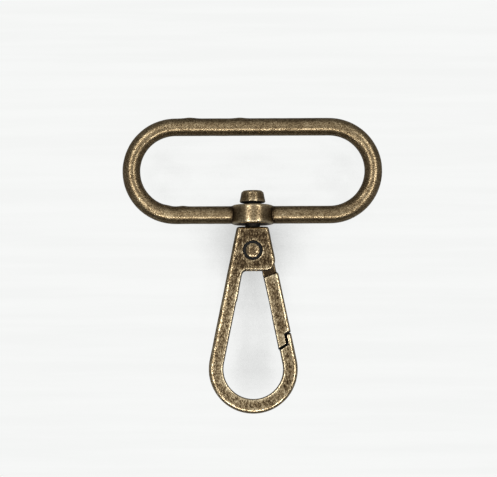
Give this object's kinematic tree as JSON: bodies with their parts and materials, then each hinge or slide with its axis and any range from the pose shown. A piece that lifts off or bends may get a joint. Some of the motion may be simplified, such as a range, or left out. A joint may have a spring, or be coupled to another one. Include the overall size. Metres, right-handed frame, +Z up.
{
  "type": "swivel snap hook",
  "caption": "Swivel snap hook with an oblong strap loop and a sprung push gate, in antique brass finish, for bag straps, lanyards and keys.",
  "frame": {"origin": "on the swivel axis, at the centre of the eye's round bottom and halfway through the hook's thickness", "axes": "+Z up along the swivel axis, from the hook to the strap loop; +Y from the front face to the back, through the eye; +X towards the gate"},
  "size_m": [0.044, 0.0072, 0.0499],
  "materials": {
    "loop": "antique brass plating, tumbled, worn light on the crowns",
    "hook": "antique brass plating, tumbled, mottled brown in the low spots",
    "gate": "antique brass plating, tumbled, mottled brown in the low spots",
    "stud": "antique brass plating on turned steel, smoother and darker than the castings",
    "pin": "antique brass plating on a domed steel rivet",
    "spring": "oiled spring wire"
  },
  "bodies": {
    "loop": {"loop": "loop"},
    "hook": {"hook_body": "hook", "swivel_stud": "stud", "gate_pin": "pin", "gate_spring": "spring"},
    "gate": {"gate": "gate"}
  },
  "joints": [
    {"name": "hook_swivel", "type": "hinge", "parent": "loop", "child": "hook", "pos_m": [0, 0, 0.026], "axis": [0, 0, 1], "continuous": true},
    {"name": "gate_pivot", "type": "hinge", "parent": "hook", "child": "gate", "pos_m": [0, 0, 0.0199], "axis": [0, 1, 0], "range_deg": [0, 29], "stiffness_Nm_per_rad": 0.0117, "springref_deg": -89.95, "deforming": ["gate_spring"]}
  ]
}
